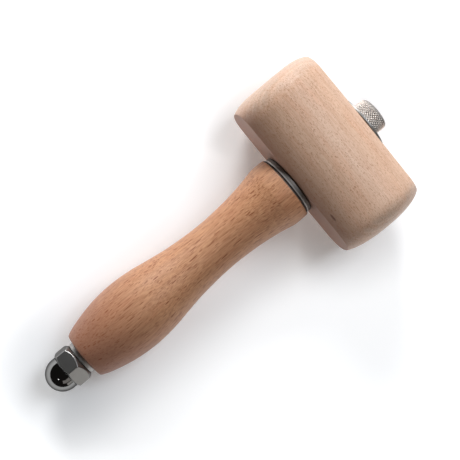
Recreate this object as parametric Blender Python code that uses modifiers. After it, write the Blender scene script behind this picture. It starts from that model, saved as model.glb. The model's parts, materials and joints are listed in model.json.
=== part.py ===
"""A through-bolted wooden mallet lying on its side, in metres, +Z up.

A turned beech handle and a turned beech head are strung on one M10 bolt. The bolt's knurled
head sits on a washer on top of the mallet head, and a domed nut closes the stack at the butt.

Every piece is made on the bench line: the handle's axis is local Z with the butt at the
bottom, and the head's barrel lies along local Y. An empty then lays the line down, so that
the head's barrel and the swell of the handle both touch the ground at z = 0.
"""

import math

import bmesh
import bpy
from mathutils import Matrix, Vector

MM = 0.001
STEPS = 48  # facets round every turned piece
SPAN_STEPS = 3  # points on a smooth outline between two stations
EDGE_STEPS = 6  # points on a short rounded edge
ROUND_STEPS = 12  # points on a large rounded end
REST_GAP = 0.3 * MM  # left between pieces that rest on each other
CUT_MARGIN = 5.0 * MM  # how far a cutter runs past what it cuts

# Domed M10 nut at the butt; its crown is the bottom of the bench line.
NUT_HEIGHT = 18.0 * MM
NUT_FLATS = 17.0 * MM
NUT_CORNER_RADIUS = NUT_FLATS / math.sqrt(3)
NUT_TURN = math.radians(6.4)  # how far one corner stands past the side away from the ground
DOME_RADIUS = 8.0 * MM
HEX_HEIGHT = 7.8 * MM
NUT_BEARING_RADIUS = 7.4 * MM
NUT_BORE_RADIUS = 5.25 * MM
NUT_BORE_DEPTH = 13.6 * MM

# Plain ring between the nut and the handle.
RING_RADIUS = 8.05 * MM
RING_THICKNESS = 2.1 * MM

# Turned handle: stations are (distance from the butt face, radius).
HANDLE_LENGTH = 118.6 * MM
BUTT_RADIUS = 11.3 * MM
SWELL_RADIUS = 17.15 * MM
WAIST_RADIUS = 12.1 * MM
COLLAR_RADIUS = 16.0 * MM
COLLAR_LENGTH = 8.4 * MM
HANDLE_STATIONS = (
    (0.0 * MM, BUTT_RADIUS),
    (1.2 * MM, 12.05 * MM),
    (5.0 * MM, 13.45 * MM),
    (12.5 * MM, 15.4 * MM),
    (20.0 * MM, 16.65 * MM),
    (29.5 * MM, SWELL_RADIUS),
    (39.5 * MM, 16.4 * MM),
    (49.0 * MM, 14.8 * MM),
    (60.0 * MM, 13.15 * MM),
    (77.0 * MM, WAIST_RADIUS),
    (92.0 * MM, 12.8 * MM),
    (103.0 * MM, 14.25 * MM),
    (HANDLE_LENGTH - COLLAR_LENGTH, 15.75 * MM),
)
COLLAR_SAG = 0.2 * MM  # how much the collar falls away at its two edges
COLLAR_EASE = 0.5 * MM  # the broken edge under the neck washer
WOOD_BORE_RADIUS = 5.5 * MM

# Large washers on both flats of the head.
WASHER_RADIUS = 15.0 * MM
NECK_WASHER_THICKNESS = 2.5 * MM
TOP_WASHER_THICKNESS = 1.2 * MM
STEEL_BORE_RADIUS = 5.3 * MM
STEEL_CHAMFER = 0.3 * MM

# Turned head: a barrel along Y with two flats across the handle's axis.
HEAD_RADIUS = 26.0 * MM
HEAD_LENGTH = 84.8 * MM
HEAD_THICKNESS = 41.3 * MM  # from flat to flat
FACE_RADIUS = 6.0 * MM  # the flat middle of a striking face
FACE_ROUNDING = 14.0 * MM  # length of the rounded end along the barrel
FACE_POWER = 3.0  # of the superellipse that rounds an end; 2 would be a plain ellipse

# M10 x 180 bolt with a knurled cap and a hexagon socket.
CAP_RADIUS = 8.15 * MM
CAP_HEIGHT = 8.0 * MM
CAP_ROUNDING = 1.9 * MM
BOLT_RADIUS = 5.0 * MM
BOLT_LENGTH = 180.0 * MM
THREAD_LENGTH = 32.0 * MM
THREAD_RADIUS = 4.85 * MM
THREAD_RUNOUT = 0.5 * MM  # the step from the plain shank down to the thread
THREAD_POINT = 1.0 * MM  # the chamfer at the bolt's end: its length along the bolt
THREAD_POINT_RADIUS = 3.95 * MM
SOCKET_FLATS = 8.0 * MM
SOCKET_DEPTH = 5.0 * MM

# The search for the angle at which the mallet lies.
STEEPEST_TILT = math.radians(15)
HALVINGS = 40

# The stack along the bench line, from the nut's crown upwards.
RING_BOTTOM = NUT_HEIGHT + REST_GAP
HANDLE_BOTTOM = RING_BOTTOM + RING_THICKNESS + REST_GAP
HANDLE_TOP = HANDLE_BOTTOM + HANDLE_LENGTH
NECK_WASHER_BOTTOM = HANDLE_TOP + REST_GAP
HEAD_BOTTOM = NECK_WASHER_BOTTOM + NECK_WASHER_THICKNESS + REST_GAP
HEAD_CENTRE = HEAD_BOTTOM + HEAD_THICKNESS / 2
TOP_WASHER_BOTTOM = HEAD_BOTTOM + HEAD_THICKNESS + REST_GAP
CAP_BOTTOM = TOP_WASHER_BOTTOM + TOP_WASHER_THICKNESS + REST_GAP


def clear_scene():
    for item in list(bpy.data.objects):
        bpy.data.objects.remove(item, do_unlink=True)


def collection(name):
    group = bpy.data.collections.new(name)
    bpy.context.scene.collection.children.link(group)
    return group


def material(name, colour, roughness, metallic):
    made = bpy.data.materials.new(name)
    made.use_nodes = True
    shader = made.node_tree.nodes["Principled BSDF"]
    shader.inputs["Base Color"].default_value = (*colour, 1.0)
    shader.inputs["Roughness"].default_value = roughness
    shader.inputs["Metallic"].default_value = metallic
    return made


def head_beech():
    return material("pale_beech", (0.70, 0.48, 0.34), 0.62, 0.0)


def handle_beech():
    return material("tan_beech", (0.55, 0.30, 0.18), 0.55, 0.0)


def polished_steel():
    return material("polished_steel", (0.62, 0.61, 0.60), 0.12, 1.0)


def washer_steel():
    return material("washer_steel", (0.40, 0.39, 0.38), 0.35, 1.0)


def bolt_steel():
    return material("bolt_steel", (0.58, 0.55, 0.52), 0.32, 1.0)


def arc(centre, radii, start, end, count):
    """Points (radius, height) on an ellipse's arc, both ends included; angles in degrees."""
    points = []
    for i in range(count + 1):
        angle = math.radians(start + (end - start) * i / count)
        points.append(
            (centre[0] + radii[0] * math.cos(angle), centre[1] + radii[1] * math.sin(angle))
        )
    return points


def superellipse(centre, radii, power, count):
    """Points (radius, height) on a quarter of a superellipse, from its top to its side."""
    points = []
    for i in range(count + 1):
        angle = math.pi / 2 * (1 - i / count)
        points.append((
            centre[0] + radii[0] * max(math.cos(angle), 0.0) ** (2 / power),
            centre[1] + radii[1] * math.sin(angle) ** (2 / power),
        ))
    return points


def smooth_curve(stations, steps):
    """A cubic through every station, its slope at each taken from the two neighbours."""
    last = len(stations) - 1
    slopes = []
    for i in range(last + 1):
        before = stations[max(i - 1, 0)]
        after = stations[min(i + 1, last)]
        slopes.append((after[1] - before[1]) / (after[0] - before[0]))
    points = []
    for i in range(last):
        (along, value), (next_along, next_value) = stations[i], stations[i + 1]
        span = next_along - along
        for j in range(steps):
            f = j / steps
            points.append((
                along + f * span,
                value * (1 + 2 * f) * (1 - f) ** 2
                + next_value * f * f * (3 - 2 * f)
                + span * f * (1 - f) * (slopes[i] * (1 - f) - slopes[i + 1] * f),
            ))
    points.append(stations[last])
    return points


def turned(name, profile, closed, group, finish):
    """A solid turned about local Z from (radius, height) points that run down its outside."""
    mesh = bpy.data.meshes.new(name)
    edges = [(i, i + 1) for i in range(len(profile) - 1)]
    if closed:
        edges.append((len(profile) - 1, 0))
    mesh.from_pydata([(radius, 0.0, height) for radius, height in profile], edges, [])
    made = bpy.data.objects.new(name, mesh)
    group.objects.link(made)
    mesh.materials.append(finish)
    spin = made.modifiers.new("turn", "SCREW")
    spin.axis = "Z"
    spin.steps = STEPS
    spin.render_steps = STEPS
    spin.use_merge_vertices = True
    spin.merge_threshold = 0.00001
    spin.use_smooth_shade = True
    return made


def cutter(name, mesh_maker, group):
    """A guide body for a Boolean, kept out of the model."""
    mesh = bpy.data.meshes.new(name)
    body = bmesh.new()
    mesh_maker(body)
    body.to_mesh(mesh)
    body.free()
    made = bpy.data.objects.new(name, mesh)
    group.objects.link(made)
    made.hide_render = True
    made.display_type = "WIRE"
    return made


def prism(sides, radius, bottom, top, turn=0.0):
    """Makes a prism along local Z, with its first corner turned from +X by an angle."""
    place = Matrix.Translation((0, 0, (bottom + top) / 2)) @ Matrix.Rotation(turn, 4, "Z")

    def build(body):
        bmesh.ops.create_cone(
            body, cap_ends=True, segments=sides, radius1=radius, radius2=radius,
            depth=top - bottom, matrix=place,
        )

    return build


def slab(size, centre):
    def build(body):
        place = Matrix.Translation(centre) @ Matrix.Diagonal((*size, 1.0))
        bmesh.ops.create_cube(body, size=1.0, matrix=place)

    return build


def combine(target, tool, operation):
    cut = target.modifiers.new(tool.name, "BOOLEAN")
    cut.operation = operation
    cut.solver = "EXACT"
    cut.object = tool


def ring_profile(outer, inner, bottom, thickness, chamfer):
    top = bottom + thickness
    return [
        (outer - chamfer, top),
        (outer, top - chamfer),
        (outer, bottom + chamfer),
        (outer - chamfer, bottom),
        (inner, bottom),
        (inner, top),
    ]


def handle_profile():
    """The collar's convex face, the long smooth outline down to the butt, and the bore."""
    collar_bottom = HANDLE_TOP - COLLAR_LENGTH
    middle = (HANDLE_TOP + collar_bottom) / 2
    points = []
    for i in range(EDGE_STEPS + 1):
        height = HANDLE_TOP - COLLAR_LENGTH * i / EDGE_STEPS
        offset = (height - middle) / (COLLAR_LENGTH / 2)
        points.append((COLLAR_RADIUS - COLLAR_SAG * offset * offset, height))
    rim = points[0][0]
    points[0] = (rim, HANDLE_TOP - COLLAR_EASE)
    points.insert(0, (rim - COLLAR_EASE, HANDLE_TOP))
    outline = smooth_curve(HANDLE_STATIONS, SPAN_STEPS)[:-1]
    points += [(radius, HANDLE_BOTTOM + along) for along, radius in reversed(outline)]
    points += [(WOOD_BORE_RADIUS, HANDLE_BOTTOM), (WOOD_BORE_RADIUS, HANDLE_TOP)]
    return points


def head_profile():
    """Half a barrel is the flat of a striking face, its rounded edge and a straight side."""
    straight = HEAD_LENGTH / 2 - FACE_ROUNDING
    radii = (HEAD_RADIUS - FACE_RADIUS, FACE_ROUNDING)
    upper = [(0.0, HEAD_LENGTH / 2)]
    upper += superellipse((FACE_RADIUS, straight), radii, FACE_POWER, ROUND_STEPS)
    lower = [(radius, -height) for radius, height in reversed(upper)]
    return upper + [(HEAD_RADIUS, 0.0)] + lower


def nut_profile():
    """Crown, cylinder, shoulder cone, widest ring, bearing-side cone, bearing face, blind bore."""
    hex_bottom = NUT_HEIGHT - HEX_HEIGHT
    shoulder = NUT_CORNER_RADIUS - DOME_RADIUS
    bearing_cone = NUT_CORNER_RADIUS - NUT_BEARING_RADIUS
    bore_end = NUT_HEIGHT - NUT_BORE_DEPTH
    bore = [(0.0, bore_end), (NUT_BORE_RADIUS, bore_end), (NUT_BORE_RADIUS, NUT_HEIGHT)]
    outside = arc((0.0, DOME_RADIUS), (DOME_RADIUS, DOME_RADIUS), 0, -90, ROUND_STEPS)
    hexagon = [
        (NUT_BEARING_RADIUS, NUT_HEIGHT),
        (NUT_CORNER_RADIUS, NUT_HEIGHT - bearing_cone),
        (NUT_CORNER_RADIUS, hex_bottom + shoulder),
        (DOME_RADIUS, hex_bottom),
    ]
    return bore + hexagon + outside


def bolt_profile():
    """Rounded cap down to the washer, plain shank, thinner threaded end with a chamfer."""
    cap_top = CAP_BOTTOM + CAP_HEIGHT
    shank_end = CAP_BOTTOM - BOLT_LENGTH
    thread_top = shank_end + THREAD_LENGTH
    rounding = (CAP_RADIUS - CAP_ROUNDING, cap_top - CAP_ROUNDING)
    points = [(0.0, cap_top)]
    points += arc(rounding, (CAP_ROUNDING, CAP_ROUNDING), 90, 0, EDGE_STEPS)
    points += [
        (CAP_RADIUS, CAP_BOTTOM + STEEL_CHAMFER),
        (CAP_RADIUS - STEEL_CHAMFER, CAP_BOTTOM),
        (BOLT_RADIUS, CAP_BOTTOM),
        (BOLT_RADIUS, thread_top + THREAD_RUNOUT),
        (THREAD_RADIUS, thread_top),
        (THREAD_RADIUS, shank_end + THREAD_POINT),
        (THREAD_POINT_RADIUS, shank_end),
        (0.0, shank_end),
    ]
    return points


def make_handle(group):
    return turned("handle", handle_profile(), True, group, handle_beech())


def make_head(group, guides):
    made = turned("head", head_profile(), False, group, head_beech())
    made.rotation_euler = (math.radians(90), 0, 0)
    made.location = (0, 0, HEAD_CENTRE)
    reach = 2 * HEAD_LENGTH
    for side, name in ((-1, "neck_flat_cut"), (1, "top_flat_cut")):
        centre = (0, 0, HEAD_CENTRE + side * (HEAD_THICKNESS + reach) / 2)
        combine(made, cutter(name, slab((reach, reach, reach), centre), guides), "DIFFERENCE")
    bore = prism(STEPS, WOOD_BORE_RADIUS, HEAD_BOTTOM - CUT_MARGIN, TOP_WASHER_BOTTOM + CUT_MARGIN)
    combine(made, cutter("head_bore_cut", bore, guides), "DIFFERENCE")
    return made


def make_washers(group):
    sizes = (
        ("butt_washer", RING_RADIUS, RING_BOTTOM, RING_THICKNESS),
        ("neck_washer", WASHER_RADIUS, NECK_WASHER_BOTTOM, NECK_WASHER_THICKNESS),
        ("top_washer", WASHER_RADIUS, TOP_WASHER_BOTTOM, TOP_WASHER_THICKNESS),
    )
    finish = washer_steel()
    made = []
    for name, radius, bottom, thickness in sizes:
        profile = ring_profile(radius, STEEL_BORE_RADIUS, bottom, thickness, STEEL_CHAMFER)
        made.append(turned(name, profile, True, group, finish))
    return made


def make_nut(group, guides):
    made = turned("acorn_nut", nut_profile(), False, group, polished_steel())
    bar = prism(6, NUT_CORNER_RADIUS, -CUT_MARGIN, NUT_HEIGHT + CUT_MARGIN, math.pi + NUT_TURN)
    combine(made, cutter("nut_hex_bar", bar, guides), "INTERSECT")
    return made


def make_bolt(group, guides):
    made = turned("through_bolt", bolt_profile(), False, group, bolt_steel())
    cap_top = CAP_BOTTOM + CAP_HEIGHT
    corner = SOCKET_FLATS / math.sqrt(3)
    socket = prism(6, corner, cap_top - SOCKET_DEPTH, cap_top + CUT_MARGIN)
    combine(made, cutter("socket_cut", socket, guides), "DIFFERENCE")
    return made


def rest_tilt():
    """The angle at which the barrel and the handle's swell stand on the same ground."""
    outline = [point for point in handle_profile() if point[0] > WOOD_BORE_RADIUS]
    low, high = 0.0, STEEPEST_TILT
    for _ in range(HALVINGS):
        tilt = (low + high) / 2
        clearance = min(
            HEAD_RADIUS - (HEAD_CENTRE - height) * math.sin(tilt) - radius * math.cos(tilt)
            for radius, height in outline
        )
        if clearance > 0:
            low = tilt
        else:
            high = tilt
    return low


def lay_down(pieces, guides):
    """Parents every piece to one empty, lays it down and centres the mallet over the origin."""
    base = bpy.data.objects.new("bench_line", None)
    bpy.context.scene.collection.objects.link(base)
    for item in (*pieces, *guides):
        item.parent = base
    base.rotation_euler = (0, math.pi / 2 - rest_tilt(), 0)
    bpy.context.view_layer.update()
    depsgraph = bpy.context.evaluated_depsgraph_get()
    corners = []
    for piece in pieces:
        shape = piece.evaluated_get(depsgraph)
        corners += [shape.matrix_world @ vertex.co for vertex in shape.data.vertices]
    low = Vector([min(corner[axis] for corner in corners) for axis in range(3)])
    high = Vector([max(corner[axis] for corner in corners) for axis in range(3)])
    base.location = (-(low.x + high.x) / 2, -(low.y + high.y) / 2, -low.z)


def main():
    clear_scene()
    parts = collection("wooden_mallet")
    guides = collection("guides")
    pieces = [
        make_head(parts, guides),
        make_handle(parts),
        make_bolt(parts, guides),
        make_nut(parts, guides),
        *make_washers(parts),
    ]
    lay_down(pieces, guides.objects)


main()
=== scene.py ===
"""The looks of a through-bolted beech mallet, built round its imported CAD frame.

Every piece is made on the bench line, as the CAD is: local Z runs along the bolt from the
crown of the domed nut (0) to the knurled cap, and the head's barrel lies along local Y.
The bench line's place comes from the frame's joints. Lengths are in metres.
"""

import json
import math

import bmesh
import bpy
from mathutils import Matrix, Vector


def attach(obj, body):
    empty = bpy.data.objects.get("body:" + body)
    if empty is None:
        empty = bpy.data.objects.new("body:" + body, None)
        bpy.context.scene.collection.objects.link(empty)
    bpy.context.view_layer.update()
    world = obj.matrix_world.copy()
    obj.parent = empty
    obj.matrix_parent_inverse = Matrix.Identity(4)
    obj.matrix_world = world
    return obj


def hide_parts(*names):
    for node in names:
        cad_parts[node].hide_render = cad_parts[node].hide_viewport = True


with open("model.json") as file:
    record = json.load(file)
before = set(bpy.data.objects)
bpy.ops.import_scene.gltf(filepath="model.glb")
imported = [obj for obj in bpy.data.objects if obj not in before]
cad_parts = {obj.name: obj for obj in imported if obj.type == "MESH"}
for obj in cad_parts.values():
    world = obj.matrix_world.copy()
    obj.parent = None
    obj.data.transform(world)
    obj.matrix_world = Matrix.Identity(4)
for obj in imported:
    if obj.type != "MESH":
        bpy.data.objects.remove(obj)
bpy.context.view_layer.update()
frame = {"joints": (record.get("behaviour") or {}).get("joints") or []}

MM = 0.001
TAU = 2 * math.pi
POLE = 1e-7  # a turned ring with a smaller radius is a single point

# Sizes that repeat the CAD's.
REST_GAP = 0.3 * MM  # between pieces that rest on each other
NUT_HEIGHT = 18.0 * MM
NUT_APOTHEM = 8.5 * MM
NUT_TURN = math.radians(6.4)
NUT_BORE_RADIUS = 5.25 * MM
NUT_BORE_DEPTH = 13.6 * MM
DOME_RADIUS = 8.0 * MM
HEX_HEIGHT = 7.8 * MM
RING_RADIUS = 8.05 * MM
RING_THICKNESS = 2.1 * MM
HANDLE_LENGTH = 118.6 * MM
COLLAR_LENGTH = 8.4 * MM
COLLAR_RADIUS = 16.0 * MM
COLLAR_SAG = 0.2 * MM  # how much the collar falls away at its two edges
COLLAR_EASE = 0.5 * MM
HANDLE_STATIONS = (  # distance from the butt, radius
    (0.0 * MM, 11.3 * MM),
    (1.2 * MM, 12.05 * MM),
    (5.0 * MM, 13.45 * MM),
    (12.5 * MM, 15.4 * MM),
    (20.0 * MM, 16.65 * MM),
    (29.5 * MM, 17.15 * MM),
    (39.5 * MM, 16.4 * MM),
    (49.0 * MM, 14.8 * MM),
    (60.0 * MM, 13.15 * MM),
    (77.0 * MM, 12.1 * MM),
    (92.0 * MM, 12.8 * MM),
    (103.0 * MM, 14.25 * MM),
    (HANDLE_LENGTH - COLLAR_LENGTH, 15.75 * MM),
)
WOOD_BORE_RADIUS = 5.5 * MM
STEEL_BORE_RADIUS = 5.3 * MM
WASHER_RADIUS = 15.0 * MM
NECK_WASHER_THICKNESS = 2.5 * MM
TOP_WASHER_THICKNESS = 1.2 * MM
HEAD_RADIUS = 26.0 * MM
HEAD_LENGTH = 84.8 * MM
HEAD_THICKNESS = 41.3 * MM  # from flat to flat
FACE_RADIUS = 6.0 * MM  # the plane middle of a striking face
FACE_ROUNDING = 14.0 * MM  # length of the rounded end along the barrel
FACE_POWER = 3.0  # of the superellipse that rounds an end
CAP_RADIUS = 8.15 * MM
CAP_HEIGHT = 8.0 * MM
CAP_ROUNDING = 1.9 * MM
BOLT_RADIUS = 5.0 * MM
BOLT_LENGTH = 180.0 * MM
THREAD_LENGTH = 32.0 * MM
SOCKET_FLATS = 8.0 * MM
SOCKET_DEPTH = 5.0 * MM

# Fine detail that the CAD leaves out or has more plainly.
NUT_EDGE = 0.45 * MM  # radius of the hexagon's worn corners
SHOULDER_WIDTH = 0.45 * MM  # the step from the dome out to the hexagon's chamfer
SHOULDER_SLOPE = 1.6  # radius gained per height in that chamfer
BEARING_RADIUS = 7.85 * MM  # where the nut's other chamfer meets its bearing face
CHAMFER_BLEND = 0.12 * MM  # how softly the hexagon turns into its chamfers
HOLE_EASE = 0.15 * MM  # the broken edge of a washer's hole
THIN_WASHER_RADIUS = WASHER_RADIUS + 0.5 * MM  # a little wider than the CAD's
LIP_WIDTH = 0.35 * MM  # the broken edge at the handle's butt
LIP_HEIGHT = 0.12 * MM
HEAD_CROWN = 0.25 * MM  # how much slimmer the barrel is where its ends begin
FLAT_EASE = 0.7 * MM  # radius of the sanded edge between the barrel and a flat
KNURL_TEETH = 36
KNURL_PITCH = CAP_RADIUS * TAU / KNURL_TEETH
KNURL_DEPTH = 0.42 * MM
KNURL_SHARPNESS = 1.5
KNURL_FOOT = 0.5 * MM  # where the knurl ends, above the cap's underside
CAP_FOOT = ((0.3 * MM, 0.12 * MM), (0.45 * MM, 0.0))  # inset and height of the rings below it
THREAD_PITCH = 1.5 * MM
THREAD_ROOT = 4.15 * MM
THREAD_CREST = 4.95 * MM
THREAD_FLAT = 0.12  # share of the pitch that is flat, at the root and again at the crest
THREAD_RUN_OUT = 1.5 * MM
POINT_LENGTH = 1.2 * MM  # the bolt's tapered end
POINT_TAPER = 0.5 * MM  # radius lost over that length
POINT_CHAMFER = 0.2 * MM  # the broken edge of its end
SOCKET_CHAMFER = 0.35 * MM

# Heights on the bench line, from the nut's crown.
NUT_BORE_END = NUT_HEIGHT - NUT_BORE_DEPTH
HEX_BOTTOM = NUT_HEIGHT - HEX_HEIGHT
RING_BOTTOM = NUT_HEIGHT + REST_GAP
HANDLE_BOTTOM = RING_BOTTOM + RING_THICKNESS + REST_GAP
HANDLE_TOP = HANDLE_BOTTOM + HANDLE_LENGTH
NECK_WASHER_BOTTOM = HANDLE_TOP + REST_GAP
HEAD_BOTTOM = NECK_WASHER_BOTTOM + NECK_WASHER_THICKNESS + REST_GAP
HEAD_CENTRE = HEAD_BOTTOM + HEAD_THICKNESS / 2
TOP_WASHER_BOTTOM = HEAD_BOTTOM + HEAD_THICKNESS + REST_GAP
CAP_BOTTOM = TOP_WASHER_BOTTOM + TOP_WASHER_THICKNESS + REST_GAP
CAP_TOP = CAP_BOTTOM + CAP_HEIGHT
SHANK_END = CAP_BOTTOM - BOLT_LENGTH


def bench_line():
    """The matrix that lays the bench line where the frame's joints say it is."""
    joints = {joint["name"]: joint for joint in frame["joints"]}
    along = Vector(joints["bolt_turn"]["axis"]).normalized()
    crown = Vector(joints["nut_turn"]["pos_m"]) - NUT_HEIGHT * along
    barrel = Vector((0, 1, 0))
    turn = Matrix((barrel.cross(along), barrel, along)).transposed()
    return Matrix.Translation(crown) @ turn.to_4x4()


BENCH = bench_line()
BARREL_AXIS = BENCH.col[1].to_3d()
BOLT_AXIS = BENCH.col[2].to_3d()


# ---------------------------------------------------------------- shapes


def arc(centre, radius, start, end, steps):
    """Points (radius, height) on a round edge, both ends included; angles in degrees."""
    points = []
    for i in range(steps + 1):
        angle = math.radians(start + (end - start) * i / steps)
        points.append((centre[0] + radius * math.cos(angle), centre[1] + radius * math.sin(angle)))
    return points


def spaced(start, end, steps):
    """Evenly spaced values from just after the start up to the end."""
    return [start + (end - start) * i / steps for i in range(1, steps + 1)]


def smooth_curve(stations, steps):
    """A cubic through every station, its slope at each taken from the two neighbours."""
    last = len(stations) - 1
    slopes = []
    for i in range(last + 1):
        before = stations[max(i - 1, 0)]
        after = stations[min(i + 1, last)]
        slopes.append((after[1] - before[1]) / (after[0] - before[0]))
    points = []
    for i in range(last):
        (along, value), (next_along, next_value) = stations[i], stations[i + 1]
        span = next_along - along
        for j in range(steps):
            f = j / steps
            points.append((
                along + f * span,
                value * (1 + 2 * f) * (1 - f) ** 2
                + next_value * f * f * (3 - 2 * f)
                + span * f * (1 - f) * (slopes[i] * (1 - f) - slopes[i + 1] * f),
            ))
    points.append(stations[last])
    return points


def ring_of(radius, height, columns, relief=None):
    """One ring of a turned piece; relief(angle) is added to the radius."""
    if radius < POLE:
        return [Vector((0, 0, height))]
    ring = []
    for i in range(columns):
        angle = TAU * i / columns
        reach = radius + (relief(angle) if relief else 0.0)
        ring.append(Vector((reach * math.cos(angle), reach * math.sin(angle), height)))
    return ring


def skin(body, rings, closed=False):
    """Joins neighbouring rings by faces; closed also joins the last ring to the first."""
    made = [[body.verts.new(point) for point in ring] for ring in rings]
    pairs = list(zip(made, made[1:]))
    if closed:
        pairs.append((made[-1], made[0]))
    for lower, upper in pairs:
        count = max(len(lower), len(upper))
        for i in range(count):
            j = (i + 1) % count
            corners = []
            for ring, k in ((lower, i), (lower, j), (upper, j), (upper, i)):
                vertex = ring[k % len(ring)]
                if vertex not in corners:
                    corners.append(vertex)
            if len(corners) > 2:
                body.faces.new(corners)
    return made


def finish_mesh(name, body, sharp_angle):
    """Turns a bmesh into a smooth shaded object, still in the bench line's own coordinates."""
    bmesh.ops.recalc_face_normals(body, faces=body.faces)
    mesh = bpy.data.meshes.new(name)
    body.to_mesh(mesh)
    body.free()
    mesh.shade_smooth()
    mesh.set_sharp_from_angle(angle=math.radians(sharp_angle))
    made = bpy.data.objects.new(name, mesh)
    bpy.context.scene.collection.objects.link(made)
    return made


def turned(name, profile):
    """A solid of revolution from a closed profile of points (radius, height)."""
    columns = 144
    body = bmesh.new()
    skin(body, [ring_of(radius, height, columns) for radius, height in profile], closed=True)
    return finish_mesh(name, body, 40)


def cutter(sides, radius, bottom, top, bottom_radius=None):
    """A prism on the bench line, or a cone if its bottom has a radius of its own."""
    if bottom_radius is None:
        bottom_radius = radius
    body = bmesh.new()
    bmesh.ops.create_cone(
        body, cap_ends=True, segments=sides, radius1=bottom_radius, radius2=radius,
        depth=top - bottom, matrix=Matrix.Translation((0, 0, (bottom + top) / 2)),
    )
    return finish_mesh("cutter", body, 30)


def cut_out(target, tool):
    """Cuts the tool out of the target for good, and removes the tool."""
    cut = target.modifiers.new("cut", "BOOLEAN")
    cut.operation = "DIFFERENCE"
    cut.solver = "EXACT"
    cut.object = tool
    bpy.context.view_layer.update()
    shape = target.evaluated_get(bpy.context.evaluated_depsgraph_get())
    mesh = bpy.data.meshes.new_from_object(shape)
    target.modifiers.clear()
    old = target.data
    target.data = mesh
    mesh.name = target.name
    bpy.data.meshes.remove(old)
    bpy.data.objects.remove(tool)


def handle_profile():
    """Neck end, convex collar, long waist and swell, butt end and bore."""
    rim = COLLAR_RADIUS - COLLAR_SAG
    edge = HANDLE_TOP - COLLAR_EASE
    middle = HANDLE_TOP - COLLAR_LENGTH / 2
    points = arc((rim - COLLAR_EASE, edge), COLLAR_EASE, 90, 0, 5)
    for height in spaced(edge, HANDLE_TOP - COLLAR_LENGTH, 14):
        offset = (height - middle) / (COLLAR_LENGTH / 2)
        points.append((COLLAR_RADIUS - COLLAR_SAG * offset * offset, height))
    outline = smooth_curve(HANDLE_STATIONS, 12)[1:-1]
    points += [(radius, HANDLE_BOTTOM + along) for along, radius in reversed(outline)]
    butt = HANDLE_STATIONS[0][1]
    points += [(butt, HANDLE_BOTTOM + LIP_HEIGHT), (butt - LIP_WIDTH, HANDLE_BOTTOM)]
    points += [(WOOD_BORE_RADIUS, HANDLE_BOTTOM), (WOOD_BORE_RADIUS, HANDLE_TOP)]
    return points


def make_handle():
    return turned("turned_handle", handle_profile())


def head_outline():
    """(distance along the barrel, radius) from one striking face to the other."""
    straight = HEAD_LENGTH / 2 - FACE_ROUNDING
    edge = HEAD_RADIUS - HEAD_CROWN
    half = [(HEAD_LENGTH / 2, 0.0), (HEAD_LENGTH / 2, FACE_RADIUS / 2)]
    steps = 40
    for i in range(steps + 1):
        angle = math.pi / 2 * (1 - i / steps)
        half.append((
            straight + FACE_ROUNDING * math.sin(angle) ** (2 / FACE_POWER),
            FACE_RADIUS + (edge - FACE_RADIUS) * max(math.cos(angle), 0.0) ** (2 / FACE_POWER),
        ))
    steps = 20
    for i in range(1, steps):
        along = straight * (1 - i / steps)
        half.append((along, HEAD_RADIUS - HEAD_CROWN * (along / straight) ** 2))
    return half + [(0.0, HEAD_RADIUS)] + [(-along, radius) for along, radius in reversed(half)]


def head_section(radius):
    """A quarter of the barrel's section, from the middle of a flat to the widest side."""
    flat = min(HEAD_THICKNESS / 2, radius)
    ease = min(FLAT_EASE, radius / 2)
    corner = math.sqrt(max((radius - ease) ** 2 - (flat - ease) ** 2, 0.0))
    turn = math.atan2(corner, flat - ease)
    steps = 10
    points = [(flat, corner * i / steps) for i in range(steps)]
    steps = 5
    for i in range(steps):
        angle = turn * i / steps
        points.append((flat - ease + ease * math.cos(angle), corner + ease * math.sin(angle)))
    steps = 36
    for i in range(steps + 1):
        angle = turn + (math.pi / 2 - turn) * i / steps
        points.append((radius * math.cos(angle), radius * math.sin(angle)))
    return points


def head_ring(along, radius):
    """The whole section as points round the barrel; flats face along the bench line."""
    if radius < POLE:
        return [Vector((0, along, HEAD_CENTRE))]
    quarter = head_section(radius)
    half = quarter + [(-up, side) for up, side in reversed(quarter[:-1])]
    whole = half + [(up, -side) for up, side in reversed(half[1:-1])]
    return [Vector((side, along, HEAD_CENTRE + up)) for up, side in whole]


def make_head():
    sharp_angle = 35
    body = bmesh.new()
    skin(body, [head_ring(along, radius) for along, radius in head_outline()])
    bmesh.ops.remove_doubles(body, verts=body.verts, dist=0.002 * MM)
    made = finish_mesh("turned_head", body, sharp_angle)
    bore_bottom, bore_top = 120 * MM, 210 * MM  # well past both flats
    cut_out(made, cutter(96, WOOD_BORE_RADIUS, bore_bottom, bore_top))
    made.data.set_sharp_from_angle(angle=math.radians(sharp_angle))
    return made


def make_washer(name, radius, bottom, thickness, ease):
    """A stamped washer, its outer edges rounded and its hole slightly broken."""
    top = bottom + thickness
    hole = STEEL_BORE_RADIUS
    mouth = hole + HOLE_EASE
    points = arc((radius - ease, top - ease), ease, 90, 0, 5)
    points += arc((radius - ease, bottom + ease), ease, 0, -90, 5)
    points += [(reach, bottom) for reach in spaced(radius - ease, mouth + HOLE_EASE, 3)]
    points += [(mouth, bottom), (hole, bottom + HOLE_EASE)]
    points += [(hole, top - HOLE_EASE), (mouth, top)]
    points += [(reach, top) for reach in spaced(mouth, radius - 2 * ease, 3)]
    return turned(name, points)


def hexagon_radius(angle):
    """Distance from the axis to the nut's hexagon with its rounded corners."""
    off = (angle - NUT_TURN) % (TAU / 6) - TAU / 12
    inner = NUT_APOTHEM - NUT_EDGE
    corner = inner / math.cos(TAU / 12)
    tangent = math.atan2(inner * math.tan(TAU / 12), NUT_APOTHEM)
    if abs(off) < tangent:
        return NUT_APOTHEM / math.cos(off)
    away = TAU / 12 - abs(off)
    return corner * math.cos(away) + math.sqrt(NUT_EDGE**2 - (corner * math.sin(away)) ** 2)


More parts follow.
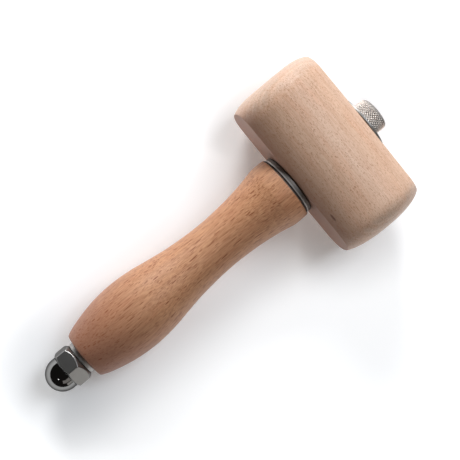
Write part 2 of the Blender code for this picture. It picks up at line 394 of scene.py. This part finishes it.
def soft_least(a, b):
    """The smaller of two radii, rounded off where they meet."""
    share = min(max(0.5 + (b - a) / (2 * CHAMFER_BLEND), 0.0), 1.0)
    return b + (a - b) * share - CHAMFER_BLEND * share * (1 - share)


def nut_ring(height, columns):
    """The nut's outline at one height: its dome, or its hexagon chamfered at both ends."""
    dome = math.sqrt(DOME_RADIUS**2 - max(DOME_RADIUS - height, 0.0) ** 2)
    shoulder = DOME_RADIUS + SHOULDER_WIDTH + (height - HEX_BOTTOM) * SHOULDER_SLOPE
    bearing = BEARING_RADIUS + (NUT_HEIGHT - height)
    near_dome = height < HEX_BOTTOM + HEX_HEIGHT / 2
    ring = []
    for i in range(columns):
        angle = TAU * i / columns
        reach = soft_least(soft_least(hexagon_radius(angle), shoulder), bearing)
        if near_dome:
            reach = max(reach, dome)
        ring.append(Vector((reach * math.cos(angle), reach * math.sin(angle), height)))
    return ring


def make_nut():
    columns = 288
    steps = 40
    heights = [
        DOME_RADIUS * (1 - math.cos(math.pi / 2 * i / steps)) for i in range(1, steps + 1)
    ]
    heights += spaced(DOME_RADIUS, NUT_HEIGHT - 0.02 * MM, 90)
    rings = [[Vector((0, 0, 0))]] + [nut_ring(height, columns) for height in heights]
    rings.append(ring_of(BEARING_RADIUS - 0.1 * MM, NUT_HEIGHT, columns))
    rings.append(ring_of(NUT_BORE_RADIUS, NUT_HEIGHT, columns))
    rings.append(ring_of(NUT_BORE_RADIUS, NUT_BORE_END, columns))
    rings.append([Vector((0, 0, NUT_BORE_END))])
    body = bmesh.new()
    skin(body, rings)
    return finish_mesh("domed_nut", body, 50)


def knurl(height, angle):
    """Relief of the diamond knurl: two sets of grooves that cross at a steep angle."""
    climb = (height - CAP_BOTTOM) / KNURL_PITCH
    first = abs((angle / TAU * KNURL_TEETH + climb) % 1 - 0.5) * 2
    second = abs((angle / TAU * KNURL_TEETH - climb) % 1 - 0.5) * 2
    return -KNURL_DEPTH * max(first, second) ** KNURL_SHARPNESS


def cap_rings():
    """The knurled cap, from its rounded end down to its underside."""
    columns = 576
    knurl_top = CAP_TOP - CAP_ROUNDING
    rings = []
    # The knurl fades out over the rounded end.
    for radius, height in arc((CAP_RADIUS - CAP_ROUNDING, knurl_top), CAP_ROUNDING, 90, 0, 12):
        fade = min(1.6 * (1 - (height - knurl_top) / CAP_ROUNDING), 1.0)
        rings.append(ring_of(
            radius, height, columns, lambda angle, h=height, f=fade: f * knurl(h, angle)))
    for height in spaced(knurl_top, CAP_BOTTOM + KNURL_FOOT, 52):
        rings.append(ring_of(
            CAP_RADIUS, height, columns, lambda angle, h=height: knurl(h, angle)))
    for inset, height in CAP_FOOT:
        rings.append(ring_of(CAP_RADIUS - inset, CAP_BOTTOM + height, columns))
    return rings


def thread(height, angle):
    """How far the right-hand thread stands out from its root."""
    turn = (height / THREAD_PITCH + angle / TAU) % 1
    wave = abs(turn - 0.5) * 2
    flank = min(max((wave - THREAD_FLAT) / (1 - 2 * THREAD_FLAT), 0.0), 1.0)
    return (THREAD_CREST - THREAD_ROOT) * flank


def shank_rings():
    """The plain shank and its threaded end, from the cap down."""
    columns = 96
    steps = 288
    thread_top = SHANK_END + THREAD_LENGTH
    rings = [ring_of(BOLT_RADIUS, height, columns) for height in (CAP_BOTTOM, thread_top + MM)]
    for i in range(steps + 1):
        height = thread_top - (THREAD_LENGTH - POINT_CHAMFER) * i / steps
        run_out = min((thread_top - height) / THREAD_RUN_OUT, 1.0)
        point = min((height - SHANK_END) / POINT_LENGTH, 1.0)
        root = THREAD_ROOT + (BOLT_RADIUS - THREAD_ROOT) * (1 - run_out)
        rings.append(ring_of(
            root - POINT_TAPER * (1 - point), height, columns,
            lambda angle, h=height, f=run_out * point: f * thread(h, angle)))
    rings.append(ring_of(THREAD_ROOT - POINT_TAPER - POINT_CHAMFER, SHANK_END, columns))
    rings.append([Vector((0, 0, SHANK_END))])
    return rings


def make_bolt():
    """The cap has more columns than the shank, so a bridge joins the two meshes."""
    sharp_angle = 45
    body = bmesh.new()
    cap = skin(body, cap_rings())
    body.faces.new(cap[0])
    shank = skin(body, shank_rings())
    ends = set(cap[-1]) | set(shank[0])
    edges = [edge for edge in body.edges if set(edge.verts) <= ends]
    bmesh.ops.bridge_loops(body, edges=edges)
    made = finish_mesh("knurled_bolt", body, sharp_angle)
    corner = SOCKET_FLATS / math.sqrt(3)
    cut_out(made, cutter(6, corner, CAP_TOP - SOCKET_DEPTH, CAP_TOP + SOCKET_DEPTH))
    mouth = corner + SOCKET_CHAMFER
    cut_out(made, cutter(96, mouth + MM, CAP_TOP - MM, CAP_TOP + MM, bottom_radius=mouth - MM))
    made.data.set_sharp_from_angle(angle=math.radians(sharp_angle))
    return made


# ---------------------------------------------------------------- materials


class Paint:
    """A node material under construction; values may be sockets, numbers or tuples."""

    def __init__(self, name):
        self.material = bpy.data.materials.new(name)
        self.material.use_nodes = True
        self.tree = self.material.node_tree
        self.shader = self.tree.nodes["Principled BSDF"]

    def node(self, kind, inputs=(), **settings):
        made = self.tree.nodes.new(kind)
        for key, value in settings.items():
            setattr(made, key, value)
        for key, value in dict(inputs).items():
            self.feed(made.inputs[key], value)
        return made

    def feed(self, socket, value):
        if isinstance(value, bpy.types.NodeSocket):
            self.tree.links.new(value, socket)
        else:
            socket.default_value = value

    def math(self, operation, *values):
        made = self.node("ShaderNodeMath", operation=operation)
        for socket, value in zip(made.inputs, values):
            self.feed(socket, value)
        return made.outputs[0]

    def times(self, first, second):
        return self.math("MULTIPLY", first, second)

    def distance(self, first, second):
        """How far the point (first, second) is from the origin."""
        square = self.math("ADD", self.times(first, first), self.times(second, second))
        return self.math("SQRT", square)

    def vector(self, operation, *values):
        made = self.node("ShaderNodeVectorMath", operation=operation)
        for socket, value in zip(made.inputs, values):
            self.feed(socket, value)
        return made.outputs["Value" if operation == "DOT_PRODUCT" else "Vector"]

    def scaled(self, value, scale):
        return self.vector("MULTIPLY", value, scale)

    def combined(self, x, y, z):
        return self.node("ShaderNodeCombineXYZ", {"X": x, "Y": y, "Z": z}).outputs["Vector"]

    def split(self, value):
        made = self.node("ShaderNodeSeparateXYZ", {"Vector": value})
        return made.outputs["X"], made.outputs["Y"], made.outputs["Z"]

    def bench_place(self):
        """The bench line's own coordinates, wherever the piece has moved to."""
        return self.node("ShaderNodeMapping", {
            "Vector": self.node("ShaderNodeTexCoord").outputs["Object"],
            "Location": BENCH.translation, "Rotation": BENCH.to_euler(),
        }, vector_type="TEXTURE").outputs["Vector"]

    def noise(self, place, scale, detail=2.0, roughness=0.5):
        """A value round 0.5 and a colour of such values; scale is in cells per unit of place."""
        made = self.node("ShaderNodeTexNoise", {
            "Vector": self.scaled(place, scale), "Scale": 1.0, "Detail": detail,
            "Roughness": roughness,
        })
        return made.outputs["Fac"], made.outputs["Color"]

    def ramp(self, value, low, high):
        """0 at low, 1 at high and smooth between them; high may be the smaller one."""
        made = self.node("ShaderNodeMapRange", {
            "Value": value, "From Min": low, "From Max": high, "To Min": 0.0, "To Max": 1.0,
        }, interpolation_type="SMOOTHSTEP")
        return made.outputs["Result"]

    def mix(self, share, first, second):
        """A share of the second colour over the first, by the Mix node's colour sockets."""
        made = self.node("ShaderNodeMix", data_type="RGBA")
        self.feed(made.inputs[0], share)
        for socket, colour in ((made.inputs[6], first), (made.inputs[7], second)):
            self.feed(socket, (*colour, 1.0) if isinstance(colour, tuple) else colour)
        return made.outputs[2]

    def facing(self, axis, low, high, both_ways=True):
        """1 where the surface's normal lies along the axis, 0 where it is square to it."""
        normal = self.node("ShaderNodeTexCoord").outputs["Normal"]
        along = self.vector("DOT_PRODUCT", normal, axis)
        return self.ramp(self.math("ABSOLUTE", along) if both_ways else along, low, high)

    def bump(self, height, strength, distance):
        made = self.node("ShaderNodeBump", {
            "Height": height, "Strength": strength, "Distance": distance,
        })
        self.feed(self.shader.inputs["Normal"], made.outputs["Normal"])


def grain_place(paint, along_barrel):
    """Bench line coordinates turned so that Z runs along the grain."""
    place = paint.bench_place()
    if not along_barrel:
        return place
    x, y, z = paint.split(place)
    return paint.combined(x, z, y)


def year_rings(paint, across, wander, end_grain, rings):
    """Shares of dark late wood, and of pale early wood that shows on end grain only."""
    year = paint.math("FRACT", paint.math(
        "MULTIPLY_ADD", wander, rings["wander"], paint.math("DIVIDE", across, rings["spacing"])))
    late = paint.times(
        paint.math("POWER", year, rings["sharpness"]),
        paint.math("MULTIPLY_ADD", end_grain, rings["end_strength"], rings["strength"]))
    early = paint.times(
        paint.math("POWER", paint.math("SUBTRACT", 1.0, year), 2 * rings["sharpness"]),
        paint.times(end_grain, 1.5 * rings["end_strength"]))
    return late, early


def dashes(paint, around, across, along, fleck, seed):
    """Thin dark flecks: one spindle in each cell of the wood, of a random size.

    A fleck's cell is the spacing (around, across, along) in metres and its size the largest
    spindle's radius in cells; the cells whose chance is small have none.
    """
    cell = fleck["cell"]
    cells = paint.node("ShaderNodeTexVoronoi", {
        "Vector": paint.combined(
            paint.math("MULTIPLY_ADD", around, 1 / cell[0], seed),
            paint.times(across, 1 / cell[1]),
            paint.times(along, 1 / cell[2])),
        "Scale": 1.0, "Randomness": 1.0,
    })
    chance, darkness, _ = paint.split(cells.outputs["Color"])
    reach = paint.math("MULTIPLY_ADD", chance, fleck["spread"], fleck["size"] - fleck["spread"])
    depth = paint.math("SUBTRACT", reach, cells.outputs["Distance"])
    marks = paint.times(
        paint.ramp(depth, 0.0, fleck["softness"]),
        paint.math("MULTIPLY_ADD", darkness, 0.7, 0.3))
    return paint.times(marks, fleck["strength"])


def beech(name, along_barrel, pith, tones, rings, flecks, roughness, stains_and_shade):
    """Solid beech: fibres, soft year rings about a pith, rays and pores, all in 3-D.

    stains_and_shade are (mask, tone, share): worn or dirty places, and places of painted shade,
    where mask(paint) is 0 to 1.
    """
    paint = Paint(name)
    place = grain_place(paint, along_barrel)
    wander, wander_colour = paint.noise(place, (60, 60, 14))
    drift = paint.scaled(
        paint.vector("SUBTRACT", wander_colour, (0.5, 0.5, 0.5)), (3.2 * MM, 3.2 * MM, 0.0))
    bent = paint.vector("ADD", place, drift)
    x, y, along = paint.split(paint.vector("SUBTRACT", bent, (*pith, 0.0)))
    across = paint.distance(x, y)
    around = paint.times(paint.math("ARCTAN2", y, x), math.hypot(*pith))
    end_grain = paint.facing(BARREL_AXIS if along_barrel else BOLT_AXIS, 0.14, 0.45)

    patches, _ = paint.noise(place, (45, 45, 9), 3.0, 0.55)
    blush, _ = paint.noise(bent, (110, 110, 28))
    coarse_fibre, _ = paint.noise(bent, (650, 650, 32), 2.0, 0.55)
    fibre, _ = paint.noise(bent, (2600, 2600, 110), 3.0, 0.6)
    late, early = year_rings(paint, across, wander, end_grain, rings)

    layers = [
        (paint.times(end_grain, tones["end_share"]), tones["end"]),
        (paint.times(paint.ramp(blush, 0.45, 0.7), tones["warm_share"]), tones["warm"]),
        (late, tones["late"]),
        (early, tones["pale"]),
        (paint.times(paint.ramp(coarse_fibre, 0.35, 0.75), tones["streaks"]), tones["late"]),
        (paint.times(paint.ramp(fibre, 0.3, 0.75), tones["hairs"]), tones["pale"]),
    ]
    layers += [(paint.times(mask(paint), share), tone) for mask, tone, share in stains_and_shade]
    pores = 0.0
    for i, fleck in enumerate(flecks):
        marks = dashes(paint, around, across, along, fleck, seed=17.3 * i)
        layers.append((marks, fleck["tone"]))
        pores = paint.math("MAXIMUM", pores, marks)
    colour = paint.mix(paint.ramp(patches, 0.3, 0.7), tones["light"], tones["deep"])
    for share, tone in layers:
        colour = paint.mix(share, colour, tone)

    paint.feed(paint.shader.inputs["Base Color"], colour)
    gloss = paint.math("MULTIPLY_ADD", fibre, 0.16, roughness - 0.08)
    paint.feed(paint.shader.inputs["Roughness"], gloss)
    paint.shader.inputs["Specular IOR Level"].default_value = 0.5
    paint.shader.inputs["Sheen Weight"].default_value = 0.1
    paint.shader.inputs["Sheen Roughness"].default_value = 0.4
    paint.bump(paint.math("SUBTRACT", paint.times(fibre, 0.35), pores), 0.35, 0.05 * MM)
    return paint.material


def head_wood():
    def shade_toward_handle(paint):
        """Painted shade on the side of the barrel towards the handle, which faces away from the
        lamps.
        """
        turned_to = paint.facing(-BOLT_AXIS, 0.1, 1.0, both_ways=False)
        return paint.times(turned_to, turned_to)

    def streak(paint):
        """A short dark mineral streak along the grain, by the edge of the near flat."""
        middle = (-18.5 * MM, -22.7 * MM, HEAD_CENTRE - 18.4 * MM)
        reach = (0.8 * MM, 2.7 * MM, 0.8 * MM)
        off = paint.vector("SUBTRACT", paint.bench_place(), middle)
        off = paint.scaled(off, tuple(1 / value for value in reach))
        return paint.ramp(paint.vector("DOT_PRODUCT", off, off), 1.0, 0.2)

    return beech(
        "pale_beech", along_barrel=True, pith=(0.060, 0.145),
        tones={
            "light": (0.75, 0.485, 0.335), "deep": (0.69, 0.41, 0.26), "late": (0.55, 0.30, 0.18),
            "pale": (0.87, 0.62, 0.46), "streaks": 0.45, "hairs": 0.65,
            "end": (0.495, 0.364, 0.282), "end_share": 0.8,
            "warm": (0.76, 0.40, 0.24), "warm_share": 0.5,
        },
        rings={"spacing": 3.1 * MM, "wander": 1.6, "sharpness": 3.0, "strength": 0.22,
               "end_strength": 0.35},
        flecks=(
            {"cell": (0.8 * MM, 1.5 * MM, 3.4 * MM), "size": 0.31, "spread": 0.22,
             "softness": 0.08, "strength": 0.75, "tone": (0.39, 0.14, 0.06)},
            {"cell": (0.48 * MM, 1.0 * MM, 1.4 * MM), "size": 0.46, "spread": 0.26,
             "softness": 0.12, "strength": 0.9, "tone": (0.42, 0.17, 0.08)},
        ),
        roughness=0.5,
        # The first stain is painted shade on the barrel's side towards the handle.
        stains_and_shade=((shade_toward_handle, (0.32, 0.145, 0.088), 0.9), (streak, (0.16, 0.06, 0.03), 0.8)),
    )


def handle_wood():
    def butt_end(paint):
        """Browner towards the butt."""
        _, _, along = paint.split(paint.bench_place())
        return paint.ramp(along, HANDLE_BOTTOM + 45 * MM, HANDLE_BOTTOM)

    def painted_gap_shade(paint):
        """Painted shade, near black, on the collar's edge in the gap under the neck washer."""
        _, _, along = paint.split(paint.bench_place())
        return paint.ramp(along, HANDLE_TOP - 0.9 * MM, HANDLE_TOP - 0.4 * MM)

    return beech(
        "tan_beech", along_barrel=False, pith=(0.048, 0.036),
        tones={
            "light": (0.54, 0.25, 0.12), "deep": (0.45, 0.18, 0.078), "late": (0.33, 0.125, 0.052),
            "pale": (0.70, 0.375, 0.195), "streaks": 0.62, "hairs": 0.78,
            "end": (0.40, 0.18, 0.10), "end_share": 0.5,
            "warm": (0.52, 0.20, 0.095), "warm_share": 0.6,
        },
        rings={"spacing": 3.4 * MM, "wander": 2.0, "sharpness": 3.0, "strength": 0.35,
               "end_strength": 0.2},
        flecks=(
            {"cell": (0.95 * MM, 1.6 * MM, 16.0 * MM), "size": 0.25, "spread": 0.11,
             "softness": 0.05, "strength": 1.0, "tone": (0.24, 0.062, 0.018)},
            {"cell": (0.7 * MM, 1.2 * MM, 8.0 * MM), "size": 0.29, "spread": 0.15,
             "softness": 0.07, "strength": 0.85, "tone": (0.28, 0.08, 0.025)},
            {"cell": (0.45 * MM, 0.9 * MM, 3.6 * MM), "size": 0.42, "spread": 0.25,
             "softness": 0.1, "strength": 0.75, "tone": (0.28, 0.085, 0.03)},
        ),
        roughness=0.52,
        # The last stain, near black at the collar's top edge, is painted shade in the gap under the
        # neck washer.
        stains_and_shade=((butt_end, (0.305, 0.125, 0.08), 0.7), (painted_gap_shade, (0.03, 0.02, 0.015), 1.0)),
    )


def darker(colour, share):
    return tuple(share * value for value in colour)


def knurl_groove_darkening(paint, angle, along):
    """Darker at the bottom of the knurl's grooves, 0 to 1."""
    climb = paint.math("DIVIDE", paint.math("SUBTRACT", along, CAP_BOTTOM), KNURL_PITCH)
    turn = paint.times(angle, KNURL_TEETH / TAU)
    grooves = []
    for operation in ("ADD", "SUBTRACT"):
        phase = paint.math("FRACT", paint.math(operation, turn, climb))
        grooves.append(paint.math("ABSOLUTE", paint.math("SUBTRACT", phase, 0.5)))
    deepest = paint.math("MAXIMUM", *grooves)
    on_cap = paint.ramp(along, CAP_BOTTOM + 0.4 * MM, CAP_BOTTOM + 0.6 * MM)
    return paint.times(paint.ramp(deepest, 0.33, 0.48), on_cap)


def steel(name, colour, edge, roughness, wear, scratch, knurled=False, polished_end=None,
          rubbed_and_highlit_to=None):
    """Plated steel with cloudy gloss, and scratches that run round the bench line.

    edge is how bright it is at grazing angles. polished_end is the height below which the
    steel is as glossy as roughness says and darker, as painted shade that dims its reflection;
    above it the faces are only brushed.
    rubbed_and_highlit_to is the height below which it is painted bright, partly as edge wear and
    partly as a painted highlight.
    """
    paint = Paint(name)
    place = paint.bench_place()
    x, y, along = paint.split(place)
    angle = paint.math("ARCTAN2", y, x)
    turning = paint.combined(paint.distance(x, y), along, angle)
    lines, _ = paint.noise(turning, (9000, 9000, 1.5), 2.0, 0.6)
    clouds, _ = paint.noise(place, (260, 260, 260), 3.0, 0.6)
    gloss = paint.math(
        "ADD", paint.math("MULTIPLY_ADD", clouds, wear * 0.3, roughness - wear * 0.15),
        paint.times(lines, scratch * 0.15))
    darkening = paint.times(paint.ramp(clouds, 0.4, 0.75), wear)
    if knurled:
        # The knurl's grooves are made darker as well.
        darkening = paint.math("MAXIMUM", darkening, knurl_groove_darkening(paint, angle, along))
    shade = paint.mix(darkening, colour, darker(colour, 0.22 if knurled else 0.72))
    if knurled:
        # Painted shade: the knurled cap's rounded end is darker, to dim its reflection.
        shaded_cap_end = paint.ramp(along, CAP_TOP - CAP_ROUNDING, CAP_TOP - CAP_ROUNDING / 2)
        shade = paint.mix(shaded_cap_end, shade, darker(colour, 0.42))
    # Painted highlight, partly edge wear: a bright band at the piece's lower edge.
    if rubbed_and_highlit_to is not None:
        edge_brightening = paint.ramp(along, rubbed_and_highlit_to, rubbed_and_highlit_to - 0.5 * MM)
        shade = paint.mix(edge_brightening, shade, (0.52, 0.49, 0.465))
    if polished_end is not None:
        brushed = paint.ramp(along, polished_end, polished_end + 0.2 * MM)
        # Painted shade: the polished dome is darker, to dim what it reflects.
        shade = paint.mix(brushed, darker(colour, 0.62), shade)
        gloss = paint.math("MULTIPLY_ADD", brushed, 0.24, gloss)
    paint.feed(paint.shader.inputs["Base Color"], shade)
    paint.feed(paint.shader.inputs["Roughness"], gloss)
    paint.shader.inputs["Metallic"].default_value = 1.0
    paint.shader.inputs["Specular Tint"].default_value = (edge, edge, edge, 1.0)
    paint.bump(lines, scratch, 0.01 * MM)
    return paint.material


# ---------------------------------------------------------------- assembly


def place_piece(piece, material, body, node):
    """Lays a finished piece down where the frame has it."""
    piece.data.transform(BENCH)
    piece.data.materials.clear()
    piece.data.materials.append(material)
    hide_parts(node)
    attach(piece, body)


def make_pieces():
    place_piece(make_head(), head_wood(), "mallet", "head")
    place_piece(make_handle(), handle_wood(), "mallet", "handle")
    place_piece(
        make_washer("thick_washer", WASHER_RADIUS, NECK_WASHER_BOTTOM, NECK_WASHER_THICKNESS,
                    ease=0.5 * MM),
        # The neck washer's brown tint is a painted reflection of the wood round it.
        steel("washer_steel", (0.215, 0.19, 0.172), edge=0.4, roughness=0.56, wear=0.1,
              scratch=0.1, rubbed_and_highlit_to=NECK_WASHER_BOTTOM + 1.0 * MM),
        "mallet", "neck_washer")
    place_piece(
        make_washer("thin_washer", THIN_WASHER_RADIUS, TOP_WASHER_BOTTOM, TOP_WASHER_THICKNESS,
                    ease=0.3 * MM),
        steel("plate_steel", (0.35, 0.338, 0.322), edge=0.5, roughness=0.46, wear=0.15,
              scratch=0.15),
        "mallet", "top_washer")
    place_piece(
        make_washer("butt_ring", RING_RADIUS, RING_BOTTOM, RING_THICKNESS, ease=0.35 * MM),
        steel("ring_steel", (0.50, 0.485, 0.465), edge=0.6, roughness=0.46, wear=0.2,
              scratch=0.2),
        "ring", "butt_washer")
    place_piece(
        make_bolt(),
        steel("bolt_steel", (0.92, 0.84, 0.775), edge=0.95, roughness=0.46, wear=0.2,
              scratch=0.1, knurled=True),
        "bolt", "through_bolt")
    place_piece(
        make_nut(),
        steel("polished_steel", (0.41, 0.405, 0.395), edge=0.28, roughness=0.07, wear=0.12,
              scratch=0.03, polished_end=HEX_BOTTOM),
        "nut", "acorn_nut")


def clearance(paint):
    """Distance on the floor from the mallet's outline: two bars with round ends."""
    x, y, _ = paint.split(paint.node("ShaderNodeTexCoord").outputs["Object"])

    def from_bar(first, second, start, end, radius):
        """Distance from a bar that lies along the first axis."""
        nearest = paint.math("MAXIMUM", paint.math("MINIMUM", first, end), start)
        off = paint.math("SUBTRACT", first, nearest)
        return paint.math("SUBTRACT", paint.distance(off, second), radius)

    handle = from_bar(x, y, -85 * MM, 90 * MM, 14 * MM)
    head = from_bar(y, paint.math("SUBTRACT", x, 66 * MM), -22 * MM, 22 * MM, 20 * MM)
    return paint.math("MINIMUM", handle, head)


def make_floor():
    """A white table that glows a little, least of all under the mallet; its glowing is painted
    light.
    """
    mesh = bpy.data.meshes.new("floor")
    body = bmesh.new()
    bmesh.ops.create_grid(body, x_segments=1, y_segments=1, size=4.0)
    body.to_mesh(mesh)
    body.free()
    floor = bpy.data.objects.new("floor", mesh)
    bpy.context.scene.collection.objects.link(floor)
    paint = Paint("white_table")
    paint.shader.inputs["Base Color"].default_value = (0.86, 0.86, 0.86, 1.0)
    paint.shader.inputs["Roughness"].default_value = 0.9
    paint.shader.inputs["Emission Color"].default_value = (1.0, 1.0, 1.0, 1.0)
    # Painted light: the floor glows more away from the mallet's outline, which hides its cast
    # shadow there.
    away = paint.ramp(clearance(paint), 0.0, 35 * MM)
    painted_glow = paint.math("MULTIPLY_ADD", away, 0.4, 0.2)
    paint.feed(paint.shader.inputs["Emission Strength"], painted_glow)
    mesh.materials.append(paint.material)


def area_light(name, heading, height, distance, size, power, colour):
    """A soft light aimed at the mallet's middle.

    heading is in degrees from +X towards +Y, and height in degrees above the floor.
    """
    aim = Vector((0.02, 0.0, 0.02))
    turn, rise = math.radians(heading), math.radians(height)
    out = Vector((math.cos(turn) * math.cos(rise), math.sin(turn) * math.cos(rise), math.sin(rise)))
    light = bpy.data.lights.new(name, "AREA")
    light.shape = "RECTANGLE"
    light.size, light.size_y = size
    light.energy = power
    light.color = colour
    lamp = bpy.data.objects.new(name, light)
    lamp.location = aim + out * distance
    lamp.rotation_euler = out.to_track_quat("Z", "Y").to_euler()
    bpy.context.scene.collection.objects.link(lamp)


def make_light():
    world = bpy.data.worlds.new("studio")
    bpy.context.scene.world = world
    world.use_nodes = True
    background = world.node_tree.nodes["Background"]
    background.inputs["Color"].default_value = (1.0, 0.92, 0.85, 1.0)
    background.inputs["Strength"].default_value = 0.02
    area_light("key_softbox", heading=60, height=25, distance=1.5, size=(0.6, 0.55),
               power=20.3, colour=(0.985, 1.0, 1.02))
    area_light("top_softbox", heading=0, height=60, distance=1.5, size=(0.6, 0.9),
               power=10.0, colour=(0.94, 1.0, 1.07))
    area_light("low_panel", heading=-96, height=13, distance=1.6, size=(0.8, 0.5),
               power=0.85, colour=(1.0, 0.97, 0.93))
    area_light("high_panel", heading=-116, height=38, distance=1.6, size=(0.8, 0.6),
               power=0.7, colour=(1.0, 0.95, 0.91))
    area_light("window", heading=188, height=44, distance=1.5, size=(0.11, 0.13),
               power=0.3, colour=(1.0, 1.0, 1.0))
    bpy.context.scene.view_settings.view_transform = "Standard"


CAMERA_PLACE = (-0.06632, 0.04058, 0.55818)
CAMERA_AXES = ((0.75522, -0.63708, 0.15454), (0.64021, 0.76747, 0.03519))  # right, up
CAMERA_LENS = 93.478
CAMERA_SENSOR = 36.0  # lens and sensor are in millimetres


def make_camera():
    camera = bpy.data.cameras.new("camera")
    camera.sensor_width = CAMERA_SENSOR
    camera.lens = CAMERA_LENS
    eye = bpy.data.objects.new("camera", camera)
    right, up = (Vector(axis) for axis in CAMERA_AXES)
    turn = Matrix((right, up, right.cross(up))).transposed()
    eye.matrix_world = Matrix.Translation(CAMERA_PLACE) @ turn.to_4x4()
    bpy.context.scene.collection.objects.link(eye)
    bpy.context.scene.camera = eye


make_camera()
make_light()
make_floor()
make_pieces()
